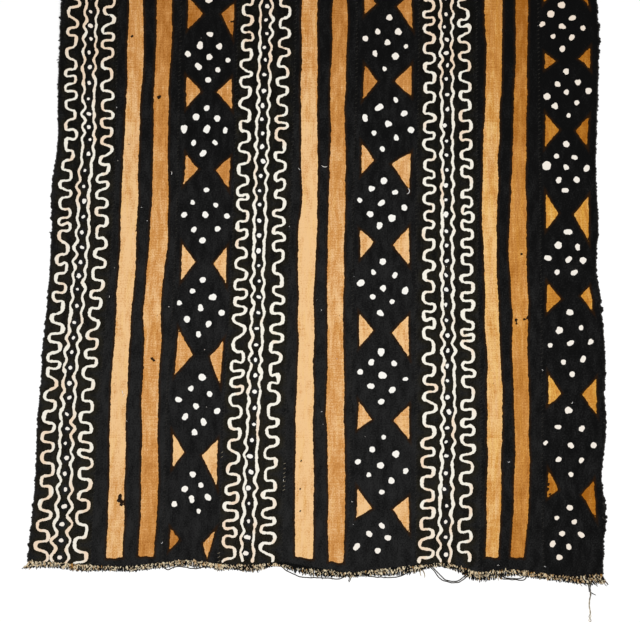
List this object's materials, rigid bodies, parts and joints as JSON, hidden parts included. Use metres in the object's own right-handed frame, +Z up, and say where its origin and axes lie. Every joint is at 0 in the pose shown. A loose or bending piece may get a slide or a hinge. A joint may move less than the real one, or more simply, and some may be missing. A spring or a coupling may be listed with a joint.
{
  "type": "bogolan mud cloth",
  "caption": "Flat strip-woven cotton cloth, black with painted cream meanders, ochre bars and dotted diamonds, strips sewn edge to edge, one end raw and frayed.",
  "frame": {"origin": "middle of the cloth's box, on the floor under it", "axes": "+Y along the strips towards the plain end, +X across them to the right, +Z up off the floor"},
  "size_m": [1.1345, 1.7201, 0.0075],
  "materials": {
    "mud_black_cotton": "matte hand-spun plain weave, mud black with cream and ochre painted pattern",
    "frayed_cotton": "matte loose cotton yarn ends, cream and black mixed"
  },
  "bodies": {
    "root": {"strip_1": "mud_black_cotton", "strip_2": "mud_black_cotton", "strip_3": "mud_black_cotton", "strip_4": "mud_black_cotton", "strip_5": "mud_black_cotton", "strip_6": "mud_black_cotton", "strip_7": "mud_black_cotton", "strip_8": "mud_black_cotton", "strip_9": "mud_black_cotton", "fringe_1": "frayed_cotton", "fringe_2": "frayed_cotton", "fringe_3": "frayed_cotton", "fringe_4": "frayed_cotton", "fringe_5": "frayed_cotton", "fringe_6": "frayed_cotton", "fringe_7": "frayed_cotton", "fringe_8": "frayed_cotton", "fringe_9": "frayed_cotton"}
  },
  "joints": []
}
